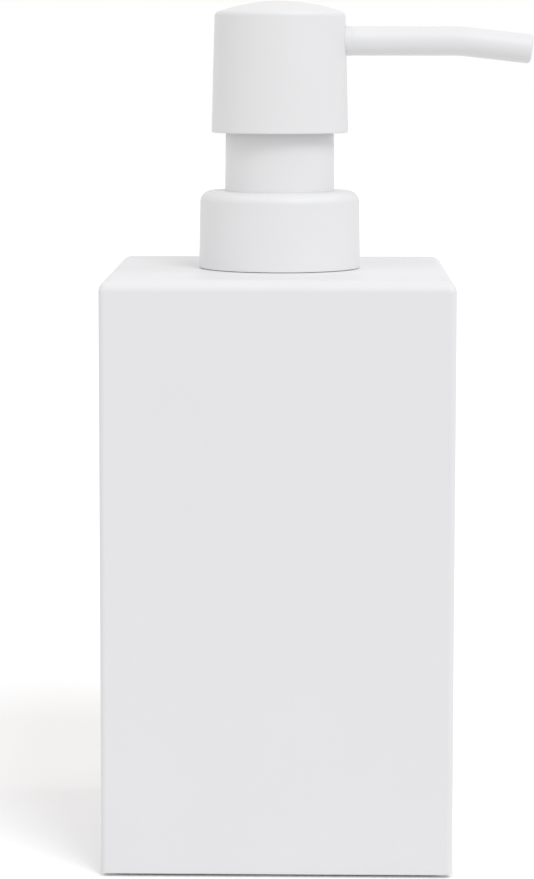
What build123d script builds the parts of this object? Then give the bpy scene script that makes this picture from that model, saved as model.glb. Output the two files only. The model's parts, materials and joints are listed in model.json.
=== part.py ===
from build123d import *
import os
from math import asin, copysign, cos, radians, sin, sqrt, tan

# A square cast-resin soap bottle with a sleeved lotion pump. Millimetres, +Z up.
# Origin: centre of the foot pad's underside, where the dispenser stands.
# The pump's axis is the Z axis, and the spout points along +X.

# ---- Fits and clearances -------------------------------------------------
bond_gap = 0.05          # glued, pressed and snapped seats, on the radius
run_gap = 0.07           # shafts and seals that slide or turn, on the radius
turn_gap = 0.1           # end play between faces that turn on each other
stop_gap = 0.3           # what is left between two pieces at a stop

# ---- Bottle --------------------------------------------------------------
body_width = 72.0        # along X
body_depth = 72.0        # along Y
body_height = 122.2
body_wall = 4.0
body_top_wall = 6.0
body_edge_round = 2.0    # upright and top edges
body_foot_round = 0.8
cavity_round = 3.0       # upright corners of the soap space
base_thickness = 3.5     # closing plate let into the underside
base_ledge = 1.5         # how far the plate laps under the walls
pad_thickness = 0.6      # rubber sheet that the bottle stands on
pad_inset = 1.6
pad_round = 3.0          # the pad's corners

# ---- Threaded neck, a 28 mm finish ---------------------------------------
finish_root_r = 12.65
finish_wall = 1.75
finish_height = 10.0     # above the bottle's top face
insert_flange_lap = 1.7  # flange past the plug
insert_flange_thickness = 1.4
insert_plug_step = 0.2   # plug past the thread's crest
insert_plug_tail = 1.5   # how far the plug shows inside the bottle
thread_pitch = 4.23      # six turns to the inch
thread_depth = 1.05
thread_root_sink = 0.15  # the ridge's root inside the wall that it stands on
thread_base_width = 2.0
thread_crest_width = 1.0
thread_start = 3.2       # middle of the ridge's lower end above the bottle's top
thread_end = 1.5         # middle of its upper end below the finish's top
thread_clear = 0.25      # crest to root, on the radius
thread_play = 0.12       # between the flanks that carry the load

# ---- Screw closure and its collar ----------------------------------------
cap_wall = 1.55
cap_top_wall = 1.4
cap_lift = 0.6           # closure's lower edge above the bottle's top
cap_ring_wall = 1.2      # ring on top that the collar rests on
cap_ring_height = 1.4
cap_ring_clear = 0.8     # ring to sleeve
collar_foot_gap = 0.3
collar_wall = 1.55
collar_taper = 0.3       # foot to top, on the radius
collar_top_wall = 1.4
collar_round = 2.2

# ---- Sleeve between collar and head --------------------------------------
sleeve_draft = 0.85      # degrees
sleeve_wall = 1.2
sleeve_cover = 2.0       # how far it reaches into the raised head
sleeve_ledge = 0.8       # thickness of the ledge that sits on the chaplet
sleeve_ledge_lap = 1.6   # how far the ledge reaches inwards
sleeve_lip_round = 0.4

# ---- Pump engine ---------------------------------------------------------
stroke = 12.0
gasket_thickness = 0.8
flange_clear = 0.3       # flange to the closure's thread, on the radius
flange_thickness = 1.2
housing_bore_r = 5.6
housing_wall = 1.5
upstand_height = 3.5     # above the flange, through the closure
chaplet_step = 2.25      # chaplet inside the flange's rim
chaplet_disc = 1.5
plug_length = 6.0        # chaplet's plug inside the housing
guide_wall = 1.5
guide_height = 2.0       # above the chaplet's disc
stem_r = 3.6
stem_bore_r = 2.0
stem_step = 0.6          # its lower end is thinner, and carries the piston
stem_step_gap = 0.15     # piston's float under the stem's step
port_r = 0.8
port_rise = 1.6          # ports above the poppet's shank
piston_height = 7.0
piston_lip = 1.4
piston_waist = 1.03      # how deep the waist is between the lips
poppet_clear = 0.7       # poppet to the housing's bore, on the radius
poppet_thickness = 1.6
poppet_shank = 2.2       # inside the stem
poppet_nose = 1.6        # centres the spring
poppet_nose_taper = 0.4
poppet_nose_clear = 0.65  # nose to the inside of the coil
spring_length = 24.0     # between its seats, head up
spring_clear = 0.85      # coil to the housing's bore, on the radius
spring_wire_r = 0.45
spring_turns = 8.0
spring_end_gap = 0.02
cage_height = 6.2
cage_roof = 1.2
cage_ball_clear = 0.35   # legs to the ball
cage_roof_lap = 0.7      # how far the roof covers the ball's edge
cage_legs = 3
cage_window = 2.6        # between the legs
cage_slot_lap = 0.85     # slots in the roof, past the legs' inner faces
cage_slot_width = 1.2
ball_r = 2.4
ball_gap = 0.03          # ball to its seat
seat_bore_r = 1.6
seat_floor = 2.6
tube_r = 3.0
tube_wall = 0.9
tube_socket = 8.0
tube_socket_wall = 1.2
tube_foot_gap = 3.5      # above the bottle's floor
tube_foot_angle = 20.0

# ---- Head and spout ------------------------------------------------------
head_wall = 1.3
head_clear = 1.55        # rim's inner edge to the sleeve, on the radius
head_taper = 0.65        # rim to dome, on the radius
dome_rise = 3.2
dome_edge_round = 0.7
rim_round = 0.3
spout_cover = 8.35       # top of the dome above the spout's axis
spout_clear = 1.05       # spout arm above the sleeve, head pressed
spout_bore_r = 2.0
spout_wall = 1.07
spigot_wall = 0.6        # the spout's thinner root inside the head
spigot_x = 7.0           # where the root ends
spout_bend_x = 38.15
spout_bend_r = 20.0
spout_drop = 6.4         # degrees below level, past the bend
spout_reach = 53.05      # axis to the middle of the mouth
spout_mouth_round = 0.6
spout_lip_round = 0.25
ring_length = 1.7
ring_sink = 0.55         # how far the ring is let into the head's side
ring_step = 0.03         # ring proud of the spout
ring_round = 0.15
arm_wall = 1.55          # round the spigot
column_wall = 1.6        # round the stem
head_pin_r = 2.9
head_boss_wall = 1.2
pin_clear = 0.5          # above the pin, inside its boss
rib_thickness = 1.2
rib_count = 4

# ---- Radii worked out from the sizes above, neck first --------------------
finish_bore_r = finish_root_r - finish_wall
finish_thread_r = finish_root_r + thread_depth
insert_plug_r = finish_thread_r + insert_plug_step
insert_flange_r = insert_plug_r + insert_flange_lap
cap_root_r = finish_thread_r + thread_clear
cap_r = cap_root_r + cap_wall
collar_bore_r = cap_r + bond_gap
collar_foot_r = collar_bore_r + collar_wall
collar_top_r = collar_foot_r - collar_taper
flange_r = cap_root_r - thread_depth - flange_clear
chaplet_r = flange_r - chaplet_step
sleeve_bore_r = chaplet_r + bond_gap
sleeve_foot_r = sleeve_bore_r + sleeve_wall
cap_ring_inner_r = sleeve_foot_r + cap_ring_clear
cap_ring_outer_r = cap_ring_inner_r + cap_ring_wall
head_rim_r = sleeve_foot_r + head_clear + head_wall
head_top_r = head_rim_r - head_taper
housing_r = housing_bore_r + housing_wall
stem_tail_r = stem_r - stem_step
guide_bore_r = stem_r + run_gap
column_r = stem_r + column_wall
piston_r = housing_bore_r - run_gap
piston_bore_r = stem_tail_r + run_gap
piston_waist_r = piston_r - piston_waist
poppet_r = housing_bore_r - poppet_clear
spring_mean_r = housing_bore_r - spring_clear - spring_wire_r
poppet_nose_r = spring_mean_r - spring_wire_r - poppet_nose_clear
cage_r = housing_bore_r - bond_gap
cage_bore_r = ball_r + cage_ball_clear
cage_roof_bore_r = ball_r - cage_roof_lap
cage_slot_reach = cage_bore_r + cage_slot_lap
spout_r = spout_bore_r + spout_wall
spigot_r = spout_bore_r + spigot_wall
spigot_bore_r = spigot_r + bond_gap
arm_r = spigot_bore_r + arm_wall
ring_r = spout_r + ring_step

# ---- Heights, from the worktop up -----------------------------------------
floor_z = pad_thickness + base_thickness
deck_z = pad_thickness + body_height
finish_top_z = deck_z + finish_height
gasket_top_z = finish_top_z + gasket_thickness
flange_top_z = gasket_top_z + flange_thickness
cap_under_z = flange_top_z + turn_gap
cap_top_z = cap_under_z + cap_top_wall
upstand_top_z = flange_top_z + upstand_height
chaplet_foot_z = cap_top_z + turn_gap
disc_top_z = upstand_top_z + chaplet_disc
guide_top_z = disc_top_z + guide_height
plug_foot_z = upstand_top_z - plug_length
piston_top_z = plug_foot_z - stop_gap
piston_foot_z = piston_top_z - piston_height
poppet_top_z = piston_foot_z - stem_step_gap
spring_top_z = poppet_top_z - poppet_thickness
spring_foot_z = spring_top_z - spring_length
seat_z = spring_foot_z - cage_height
socket_top_z = seat_z - seat_floor
socket_foot_z = socket_top_z - tube_socket
collar_top_z = cap_top_z + cap_ring_height + collar_top_wall
rim_z = collar_top_z + stroke + stop_gap
sleeve_top_z = rim_z + sleeve_cover
spout_z = sleeve_top_z + stroke + spout_clear + arm_r
apex_z = spout_z + spout_cover
side_top_z = apex_z - dome_rise
column_foot_z = guide_top_z + stroke + stop_gap
stem_top_z = spout_z - spout_bore_r - stem_bore_r
head_slope = (head_rim_r - head_top_r) / (side_top_z - rim_z)
ring_seat_x = head_rim_r - head_slope * (spout_z - rim_z) - ring_sink
column_top_z = spout_z + arm_r


thread_turns = (finish_height - thread_end - thread_start) / thread_pitch


def thread_ridge(base_r, crest_r, middle_z):
    """A right-hand thread's ridge, standing on base_r and reaching to crest_r."""
    depth = crest_r - base_r
    sunk = copysign(thread_root_sink, -depth)
    with BuildPart() as ridge:
        with BuildLine() as path:
            helix = Helix(thread_pitch, thread_pitch * thread_turns, base_r, center=(0, 0, middle_z))
        start = Plane(origin=helix @ 0, x_dir=(1, 0, 0), z_dir=helix % 0)
        with BuildSketch(start):
            with BuildLine():
                Polyline(
                    (sunk, -thread_base_width / 2),
                    (depth, -thread_crest_width / 2),
                    (depth, thread_crest_width / 2),
                    (sunk, thread_base_width / 2),
                    close=True,
                )
            make_face()
        sweep(path=path.line, is_frenet=True)
    return ridge.part


# ---- Bottle body: a hollow box, open underneath for the closing plate ----
insert_hole_r = insert_plug_r + bond_gap
insert_recess_r = insert_flange_r + bond_gap
with BuildPart() as bottle_body:
    with BuildSketch(Plane.XY.offset(pad_thickness)):
        Rectangle(body_width, body_depth)
    extrude(amount=body_height)
    rounded = bottle_body.edges().filter_by(Axis.Z) + bottle_body.faces().sort_by(Axis.Z)[-1].edges()
    fillet(rounded, body_edge_round)
    fillet(bottle_body.faces().sort_by(Axis.Z)[0].edges(), body_foot_round)
    with BuildSketch(Plane.XY.offset(pad_thickness)):
        RectangleRounded(body_width - 2 * body_wall, body_depth - 2 * body_wall, cavity_round)
    extrude(amount=body_height - body_top_wall, mode=Mode.SUBTRACT)
    with BuildSketch(Plane.XY.offset(pad_thickness)):
        RectangleRounded(
            body_width - 2 * (body_wall - base_ledge),
            body_depth - 2 * (body_wall - base_ledge),
            cavity_round,
        )
    extrude(amount=base_thickness, mode=Mode.SUBTRACT)
    with Locations((0, 0, deck_z)):
        CounterBoreHole(insert_hole_r, insert_recess_r, insert_flange_thickness, body_top_wall)

# ---- Closing plate, glued into the underside -----------------------------
plate_width = body_width - 2 * (body_wall - base_ledge) - 2 * bond_gap
plate_depth = body_depth - 2 * (body_wall - base_ledge) - 2 * bond_gap
with BuildPart() as base_plate:
    with BuildSketch(Plane.XY.offset(pad_thickness)):
        RectangleRounded(plate_width, plate_depth, cavity_round - bond_gap)
    extrude(amount=base_thickness)

# ---- Rubber foot pad -----------------------------------------------------
with BuildPart() as base_pad:
    with BuildSketch():
        RectangleRounded(body_width - 2 * pad_inset, body_depth - 2 * pad_inset, pad_round)
    extrude(amount=pad_thickness)

# ---- Threaded neck insert, glued into the bottle's top -------------------
insert_foot_z = deck_z - body_top_wall - insert_plug_tail
finish_thread = thread_ridge(finish_root_r, finish_thread_r, deck_z + thread_start)
with BuildPart() as neck_insert:
    with BuildSketch(Plane.XZ):
        with BuildLine():
            Polyline(
                (finish_bore_r, insert_foot_z),
                (insert_plug_r, insert_foot_z),
                (insert_plug_r, deck_z - insert_flange_thickness),
                (insert_flange_r, deck_z - insert_flange_thickness),
                (insert_flange_r, deck_z),
                (finish_root_r, deck_z),
                (finish_root_r, finish_top_z),
                (finish_bore_r, finish_top_z),
                close=True,
            )
        make_face()
    revolve(axis=Axis.Z)
    add(finish_thread)

# ---- Gasket between the neck and the pump's flange -----------------------
with BuildPart() as housing_gasket:
    with BuildSketch(Plane.XY.offset(finish_top_z)):
        Circle(flange_r)
        Circle(finish_bore_r, mode=Mode.SUBTRACT)
    extrude(amount=gasket_thickness)

# ---- Pump housing: cylinder, flange, ball seat and dip-tube socket -------
socket_bore_r = tube_r + bond_gap
socket_r = socket_bore_r + tube_socket_wall
with BuildPart() as cylinder_housing:
    with BuildSketch(Plane.XZ):
        with BuildLine():
            Polyline(
                (housing_bore_r, upstand_top_z),
                (housing_r, upstand_top_z),
                (housing_r, flange_top_z),
                (flange_r, flange_top_z),
                (flange_r, gasket_top_z),
                (housing_r, gasket_top_z),
                (housing_r, seat_z),
                (socket_r, socket_top_z),
                (socket_r, socket_foot_z),
                (socket_bore_r, socket_foot_z),
                (socket_bore_r, socket_top_z),
                (seat_bore_r, socket_top_z),
                (seat_bore_r, seat_z),
                (housing_bore_r, seat_z),
                close=True,
            )
        make_face()
    revolve(axis=Axis.Z)

# ---- Dip tube, pushed into the socket, its foot cut at a slant -----------
tube_foot_z = floor_z + tube_foot_gap
with BuildPart() as dip_tube:
    with BuildSketch(Plane.XY.offset(tube_foot_z)):
        Circle(tube_r)
        Circle(tube_r - tube_wall, mode=Mode.SUBTRACT)
    extrude(amount=socket_top_z - tube_foot_z)
    slant = Plane.XY.offset(tube_foot_z + tube_r * tan(radians(tube_foot_angle))).rotated(
        (0, tube_foot_angle, 0)
    )
    split(bisect_by=slant, keep=Keep.TOP)

# ---- Ball and the cage that keeps it over its seat -----------------------
ball_z = seat_z + sqrt((ball_r + ball_gap) ** 2 - seat_bore_r**2)
with BuildPart() as inlet_ball:
    with Locations((0, 0, ball_z)):
        Sphere(ball_r)

with BuildPart() as ball_cage:
    with BuildSketch(Plane.XY.offset(seat_z)):
        Circle(cage_r)
        Circle(cage_bore_r, mode=Mode.SUBTRACT)
        with PolarLocations((cage_r + cage_bore_r) / 2, cage_legs):
            Rectangle(cage_r, cage_window, mode=Mode.SUBTRACT)
    extrude(amount=cage_height - cage_roof)
    with BuildSketch(Plane.XY.offset(spring_foot_z - cage_roof)):
        Circle(cage_r)
        Circle(cage_roof_bore_r, mode=Mode.SUBTRACT)
        with PolarLocations(cage_slot_reach / 2, cage_legs):
            Rectangle(cage_slot_reach, cage_slot_width, mode=Mode.SUBTRACT)
    extrude(amount=cage_roof)

# ---- Return spring, at its fitted length between cage and poppet ---------
spring_pitch = (spring_length - 2 * (spring_wire_r + spring_end_gap)) / spring_turns
spring_start_z = spring_foot_z + spring_wire_r + spring_end_gap
with BuildPart() as return_spring:
    with BuildLine() as spring_path:
        coil = Helix(
            spring_pitch,
            spring_pitch * spring_turns,
            spring_mean_r,
            center=(0, 0, spring_start_z),
        )
    with BuildSketch(Plane(origin=coil @ 0, z_dir=coil % 0)):
        Circle(spring_wire_r)
    sweep(path=spring_path.line, is_frenet=True)

# ---- Poppet: closes the stem's foot and carries the spring's upper end ---
with BuildPart() as stem_poppet:
    with BuildSketch(Plane.XZ):
        with BuildLine():
            Polyline(
                (0, poppet_top_z + poppet_shank),
                (stem_bore_r - bond_gap, poppet_top_z + poppet_shank),
                (stem_bore_r - bond_gap, poppet_top_z),
                (poppet_r, poppet_top_z),
                (poppet_r, spring_top_z),
                (poppet_nose_r, spring_top_z),
                (poppet_nose_r - poppet_nose_taper, spring_top_z - poppet_nose),
                (0, spring_top_z - poppet_nose),
                close=True,
            )
        make_face()
    revolve(axis=Axis.Z)

# ---- Piston seal: slides in the housing, waisted between its two lips ----
with BuildPart() as piston_seal:
    with BuildSketch(Plane.XZ):
        with BuildLine():
            Polyline(
                (piston_bore_r, piston_foot_z),
                (piston_r, piston_foot_z),
                (piston_r, piston_foot_z + piston_lip),
                (piston_waist_r, piston_foot_z + 2 * piston_lip),
                (piston_waist_r, piston_top_z - 2 * piston_lip),
                (piston_r, piston_top_z - piston_lip),
                (piston_r, piston_top_z),
                (piston_bore_r, piston_top_z),
                close=True,
            )
        make_face()
    revolve(axis=Axis.Z)

# ---- Stem: hollow, stepped at the piston, with cross ports near its foot -
stem_step_z = piston_top_z + stem_step_gap
port_z = poppet_top_z + poppet_shank + port_rise
with BuildPart() as stem:
    with BuildSketch(Plane.XZ):
        with BuildLine():
            Polyline(
                (stem_bore_r, poppet_top_z),
                (stem_tail_r, poppet_top_z),
                (stem_tail_r, stem_step_z),
                (stem_r, stem_step_z),
                (stem_r, stem_top_z),
                (stem_bore_r, stem_top_z),
                close=True,
            )
        make_face()
    revolve(axis=Axis.Z)
    with BuildSketch(Plane.XZ):
        with Locations((0, port_z)):
            Circle(port_r)
    extrude(amount=stem_r, both=True, mode=Mode.SUBTRACT)

# ---- Chaplet: snaps over the housing's neck and guides the stem ----------
with BuildPart() as chaplet:
    with BuildSketch(Plane.XZ):
        with BuildLine():
            Polyline(
                (guide_bore_r, plug_foot_z),
                (housing_bore_r - bond_gap, plug_foot_z),
                (housing_bore_r - bond_gap, upstand_top_z),
                (housing_r + bond_gap, upstand_top_z),
                (housing_r + bond_gap, chaplet_foot_z),
                (chaplet_r, chaplet_foot_z),
                (chaplet_r, disc_top_z),
                (guide_bore_r + guide_wall, disc_top_z),
                (guide_bore_r + guide_wall, guide_top_z),
                (guide_bore_r, guide_top_z),
                close=True,
            )
        make_face()
    revolve(axis=Axis.Z)

# ---- Neck sleeve: the smooth tube between collar and head ----------------
sleeve_foot_z = cap_top_z + stop_gap
sleeve_top_r = sleeve_foot_r - (sleeve_top_z - collar_top_z) * tan(radians(sleeve_draft))
with BuildPart() as neck_sleeve:
    with BuildSketch(Plane.XZ):
        with BuildLine():
            Polyline(
                (sleeve_bore_r, sleeve_foot_z),
                (sleeve_foot_r, sleeve_foot_z),
                (sleeve_foot_r, collar_top_z),
                (sleeve_top_r, sleeve_top_z),
                (sleeve_top_r - sleeve_wall, sleeve_top_z),
                (sleeve_top_r - sleeve_wall, disc_top_z + sleeve_ledge),
                (sleeve_bore_r - sleeve_ledge_lap, disc_top_z + sleeve_ledge),
                (sleeve_bore_r - sleeve_ledge_lap, disc_top_z),
                (sleeve_bore_r, disc_top_z),
                close=True,
            )
        make_face()
    revolve(axis=Axis.Z)
    sleeve_lip = neck_sleeve.edges().filter_by(GeomType.CIRCLE).group_by(Axis.Z)[-1]
    fillet(sleeve_lip, sleeve_lip_round)

# ---- Screw closure: threaded inside, captive between housing and chaplet -
cap_foot_z = deck_z + cap_lift
thread_taper = (thread_base_width - thread_crest_width) / thread_depth
flank_width = thread_base_width - thread_taper * thread_clear
cap_thread_z = deck_z + thread_start - (flank_width + thread_crest_width) / 2 - thread_play
cap_thread = thread_ridge(cap_root_r, cap_root_r - thread_depth, cap_thread_z)
with BuildPart() as closure_cap:
    with BuildSketch(Plane.XZ):
        with BuildLine():
            Polyline(
                (cap_root_r, cap_foot_z),
                (cap_r, cap_foot_z),
                (cap_r, cap_top_z),
                (cap_ring_outer_r, cap_top_z),
                (cap_ring_outer_r, collar_top_z - collar_top_wall),
                (cap_ring_inner_r, collar_top_z - collar_top_wall),
                (cap_ring_inner_r, cap_top_z),
                (housing_r + run_gap, cap_top_z),
                (housing_r + run_gap, cap_under_z),
                (cap_root_r, cap_under_z),
                close=True,
            )
        make_face()
    revolve(axis=Axis.Z)
    add(cap_thread)

# ---- Collar: the smooth outer shell pressed over the closure -------------
collar_foot_z = deck_z + collar_foot_gap
collar_opening_r = sleeve_foot_r + run_gap
with BuildPart() as collar_shell:
    with BuildSketch(Plane.XZ):
        with BuildLine():
            Polyline(
                (collar_bore_r, collar_foot_z),
                (collar_foot_r, collar_foot_z),
                (collar_top_r, collar_top_z),
                (collar_opening_r, collar_top_z),
                (collar_opening_r, collar_top_z - collar_top_wall),
                (collar_bore_r, collar_top_z - collar_top_wall),
                close=True,
            )
        make_face()
    revolve(axis=Axis.Z)
    collar_top_edges = collar_shell.edges().filter_by(GeomType.CIRCLE).group_by(Axis.Z)[-1]
    fillet(collar_top_edges.sort_by(SortBy.RADIUS)[-1], collar_round)

# ---- Head shell: an open cup with a low dome, bored for the spout --------
dome_r = (head_top_r**2 + dome_rise**2) / (2 * dome_rise)
dome_centre_z = apex_z - dome_r
inner_dome_r = dome_r - head_wall
inner_top_r = head_top_r - head_wall
inner_top_z = dome_centre_z + sqrt(inner_dome_r**2 - inner_top_r**2)
half_dome = asin(head_top_r / dome_r) / 2
half_ceiling = asin(inner_top_r / inner_dome_r) / 2
pin_bore_r = head_pin_r + bond_gap
with BuildPart() as head_shell:
    with BuildSketch(Plane.XZ):
        with BuildLine():
            Polyline((head_rim_r - head_wall, rim_z), (head_rim_r, rim_z), (head_top_r, side_top_z))
            ThreePointArc(
                (head_top_r, side_top_z),
                (dome_r * sin(half_dome), dome_centre_z + dome_r * cos(half_dome)),
                (0, apex_z),
            )
            Line((0, apex_z), (0, apex_z - head_wall))
            ThreePointArc(
                (0, apex_z - head_wall),
                (inner_dome_r * sin(half_ceiling), dome_centre_z + inner_dome_r * cos(half_ceiling)),
                (inner_top_r, inner_top_z),
            )
            Line((inner_top_r, inner_top_z), (head_rim_r - head_wall, rim_z))
        make_face()
    revolve(axis=Axis.Z)
    rim_edges = head_shell.faces().sort_by(Axis.Z)[0].edges()
    fillet(rim_edges.sort_by(SortBy.RADIUS)[-1], rim_round)
    dome_edge = head_shell.faces().sort_by(Axis.Z)[-1].edges().sort_by(SortBy.LENGTH)[-1]
    fillet(dome_edge, dome_edge_round)
    with BuildSketch(Plane.XY.offset(column_top_z + bond_gap)):
        Circle(pin_bore_r + head_boss_wall)
        Circle(pin_bore_r, mode=Mode.SUBTRACT)
    extrude(amount=apex_z - head_wall - column_top_z - bond_gap)
    with BuildSketch(Plane.YZ.offset(ring_seat_x)):
        with Locations((0, spout_z)):
            Circle(ring_r + bond_gap)
    extrude(amount=head_rim_r - ring_seat_x, mode=Mode.SUBTRACT)
    with BuildSketch(Plane.YZ.offset(ring_seat_x)):
        with Locations((0, spout_z)):
            Circle(spigot_bore_r)
    extrude(amount=-ring_seat_x, mode=Mode.SUBTRACT)

# ---- Head insert: stem socket, cross channel, spout socket and ribs ------
rib_reach = head_rim_r - head_slope * (column_top_z - rim_z) - head_wall - bond_gap
arm_end_x = sqrt(rib_reach**2 - arm_r**2)
with BuildPart() as head_insert:
    with BuildSketch(Plane.XY.offset(column_foot_z)):
        Circle(column_r)
    extrude(amount=column_top_z - column_foot_z)
    with BuildSketch(Plane.XY.offset(spout_z - arm_r)):
        with PolarLocations(rib_reach / 2, rib_count, start_angle=180 / rib_count):
            Rectangle(rib_reach, rib_thickness)
    extrude(amount=2 * arm_r)
    with BuildSketch(Plane.XY.offset(column_top_z)):
        Circle(head_pin_r)
    extrude(amount=apex_z - head_wall - pin_clear - column_top_z)
    with BuildSketch(Plane.YZ):
        with Locations((0, spout_z)):
            Circle(arm_r)
    extrude(amount=arm_end_x)
    with BuildSketch(Plane.XY.offset(column_foot_z)):
        Circle(stem_r + bond_gap)
    extrude(amount=stem_top_z - column_foot_z, mode=Mode.SUBTRACT)
    with BuildSketch(Plane.XY.offset(stem_top_z)):
        Circle(stem_bore_r)
    extrude(amount=spout_z - stem_top_z, mode=Mode.SUBTRACT)
    with BuildSketch(Plane.YZ):
        with Locations((0, spout_z)):
            Circle(spout_bore_r)
    extrude(amount=spigot_x, mode=Mode.SUBTRACT)
    with BuildSketch(Plane.YZ.offset(spigot_x)):
        with Locations((0, spout_z)):
            Circle(spigot_bore_r)
    extrude(amount=arm_end_x - spigot_x, mode=Mode.SUBTRACT)

# ---- Ring at the spout's root, let into the head's side ------------------
spout_shoulder_x = ring_seat_x + ring_length
with BuildPart() as spout_ring:
    with BuildSketch(Plane.YZ.offset(ring_seat_x)):
        with Locations((0, spout_z)):
            Circle(ring_r)
            Circle(spigot_bore_r, mode=Mode.SUBTRACT)
    extrude(amount=ring_length)
    fillet(spout_ring.edges().filter_by(GeomType.CIRCLE).group_by(SortBy.RADIUS)[-1], ring_round)

# ---- Spout: level run, one gentle bend, drooping end, and a thinner root -
bend_run = spout_bend_r * tan(radians(spout_drop) / 2)
end_run = (spout_reach - spout_bend_x) / cos(radians(spout_drop)) - bend_run
with BuildPart() as spout_tube:
    with BuildLine(Plane.XZ) as spout_path:
        level = Line((spout_shoulder_x, spout_z), (spout_bend_x - bend_run, spout_z))
        bend = JernArc(level @ 1, level % 1, spout_bend_r, -spout_drop)
        Line(bend @ 1, bend @ 1 + (bend % 1) * end_run)
    with BuildSketch(Plane.YZ.offset(spout_shoulder_x)):
        with Locations((0, spout_z)):
            Circle(spout_r)
    sweep(path=spout_path.line)
    with BuildSketch(Plane.YZ.offset(spigot_x)):
        with Locations((0, spout_z)):
            Circle(spigot_r)
    extrude(amount=spout_shoulder_x - spigot_x)
    with BuildSketch(Plane.YZ.offset(spout_shoulder_x)):
        with Locations((0, spout_z)):
            Circle(spout_bore_r)
    sweep(path=spout_path.line, mode=Mode.SUBTRACT)
    with BuildSketch(Plane.YZ.offset(spigot_x)):
        with Locations((0, spout_z)):
            Circle(spout_bore_r)
    extrude(amount=spout_shoulder_x - spigot_x, mode=Mode.SUBTRACT)
    mouth = spout_tube.faces().sort_by(Axis.X)[-1]
    fillet(mouth.edges().sort_by(SortBy.RADIUS)[-1], spout_mouth_round)
    fillet(spout_tube.faces().sort_by(Axis.X)[-1].edges().sort_by(SortBy.RADIUS)[0], spout_lip_round)

# ---- Write each piece to its own STEP file -------------------------------
pieces = {
    "bottle_body": bottle_body,
    "base_plate": base_plate,
    "base_pad": base_pad,
    "neck_insert": neck_insert,
    "housing_gasket": housing_gasket,
    "cylinder_housing": cylinder_housing,
    "dip_tube": dip_tube,
    "inlet_ball": inlet_ball,
    "ball_cage": ball_cage,
    "return_spring": return_spring,
    "stem_poppet": stem_poppet,
    "piston_seal": piston_seal,
    "stem": stem,
    "chaplet": chaplet,
    "neck_sleeve": neck_sleeve,
    "closure_cap": closure_cap,
    "collar_shell": collar_shell,
    "head_shell": head_shell,
    "head_insert": head_insert,
    "spout_ring": spout_ring,
    "spout_tube": spout_tube,
}
os.makedirs("parts", exist_ok=True)
for name, piece in pieces.items():
    piece.part.label = name
    export_step(piece.part, f"parts/{name}.step")
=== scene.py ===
"""A square soap dispenser with a press pump, dressed for a studio shot.

The packed frame carries the working parts. This file models the pieces that
show, gives every part its finish, and sets the floor, the lamps and the camera.
"""

import json
from math import asin, atan2, cos, hypot, pi, radians, sin, sqrt, tan, tau

import bmesh
import bpy
from bpy.props import FloatProperty, FloatVectorProperty, IntProperty, PointerProperty
from mathutils import Matrix, Vector


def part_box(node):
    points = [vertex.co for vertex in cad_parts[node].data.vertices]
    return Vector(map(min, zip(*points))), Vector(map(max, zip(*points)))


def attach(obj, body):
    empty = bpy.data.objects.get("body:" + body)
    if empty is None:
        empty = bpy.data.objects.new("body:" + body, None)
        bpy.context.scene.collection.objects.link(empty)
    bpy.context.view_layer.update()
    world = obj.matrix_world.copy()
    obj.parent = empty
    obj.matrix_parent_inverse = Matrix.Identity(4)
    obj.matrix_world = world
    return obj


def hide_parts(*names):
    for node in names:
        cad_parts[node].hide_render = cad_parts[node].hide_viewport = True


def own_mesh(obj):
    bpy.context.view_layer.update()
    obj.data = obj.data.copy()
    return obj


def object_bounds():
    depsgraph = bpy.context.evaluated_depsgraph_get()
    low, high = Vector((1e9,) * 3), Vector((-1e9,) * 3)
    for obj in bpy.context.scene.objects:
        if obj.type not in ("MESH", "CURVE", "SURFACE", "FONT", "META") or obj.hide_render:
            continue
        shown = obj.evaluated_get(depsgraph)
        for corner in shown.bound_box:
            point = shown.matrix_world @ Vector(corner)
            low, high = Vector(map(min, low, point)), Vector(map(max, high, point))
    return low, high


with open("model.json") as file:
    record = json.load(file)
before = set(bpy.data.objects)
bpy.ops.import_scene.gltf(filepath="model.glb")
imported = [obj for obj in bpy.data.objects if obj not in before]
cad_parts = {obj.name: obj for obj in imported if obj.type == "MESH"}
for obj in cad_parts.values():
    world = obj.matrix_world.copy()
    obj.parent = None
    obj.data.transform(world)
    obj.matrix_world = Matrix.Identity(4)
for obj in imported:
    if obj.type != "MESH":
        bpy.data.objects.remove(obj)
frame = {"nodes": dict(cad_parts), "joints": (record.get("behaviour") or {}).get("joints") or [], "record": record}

bl_info = {
    "name": "Soap Pump Dispenser",
    "version": (1, 0, 0),
    "blender": (4, 5, 0),
    "location": "3D View > Sidebar > Dispenser",
    "description": "Models and finishes a square soap dispenser around its packed frame",
    "category": "Object",
}

MM = 0.001
CAD_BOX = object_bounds()

# Corners of the parts that the pieces stand for, at rest.
BOTTLE_LOW, BOTTLE_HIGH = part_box("bottle_body")
PAD_LOW, PAD_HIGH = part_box("base_pad")
COLLAR_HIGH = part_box("collar_shell")[1]
SLEEVE_LOW, SLEEVE_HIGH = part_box("neck_sleeve")
CHAPLET_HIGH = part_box("chaplet")[1]
HEAD_LOW, HEAD_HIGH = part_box("head_shell")
RING_LOW, RING_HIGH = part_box("spout_ring")
SPOUT_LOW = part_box("spout_tube")[0]
SPRING_LOW, SPRING_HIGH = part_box("return_spring")

SPOUT_Z = (RING_LOW.z + RING_HIGH.z) / 2
RING_R = (RING_HIGH.z - RING_LOW.z) / 2


# ---- Sizes and colours that can be changed -----------------------------------


def length(name, description, millimetres):
    """A length property, given in millimetres and kept in metres."""
    return FloatProperty(
        name=name, description=description, default=millimetres * MM,
        min=0, precision=5, subtype="DISTANCE", unit="LENGTH",
    )


def angle(name, description, degrees):
    """An angle property, given in degrees."""
    return FloatProperty(
        name=name, description=description, default=radians(degrees),
        subtype="ANGLE", unit="ROTATION",
    )


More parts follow.
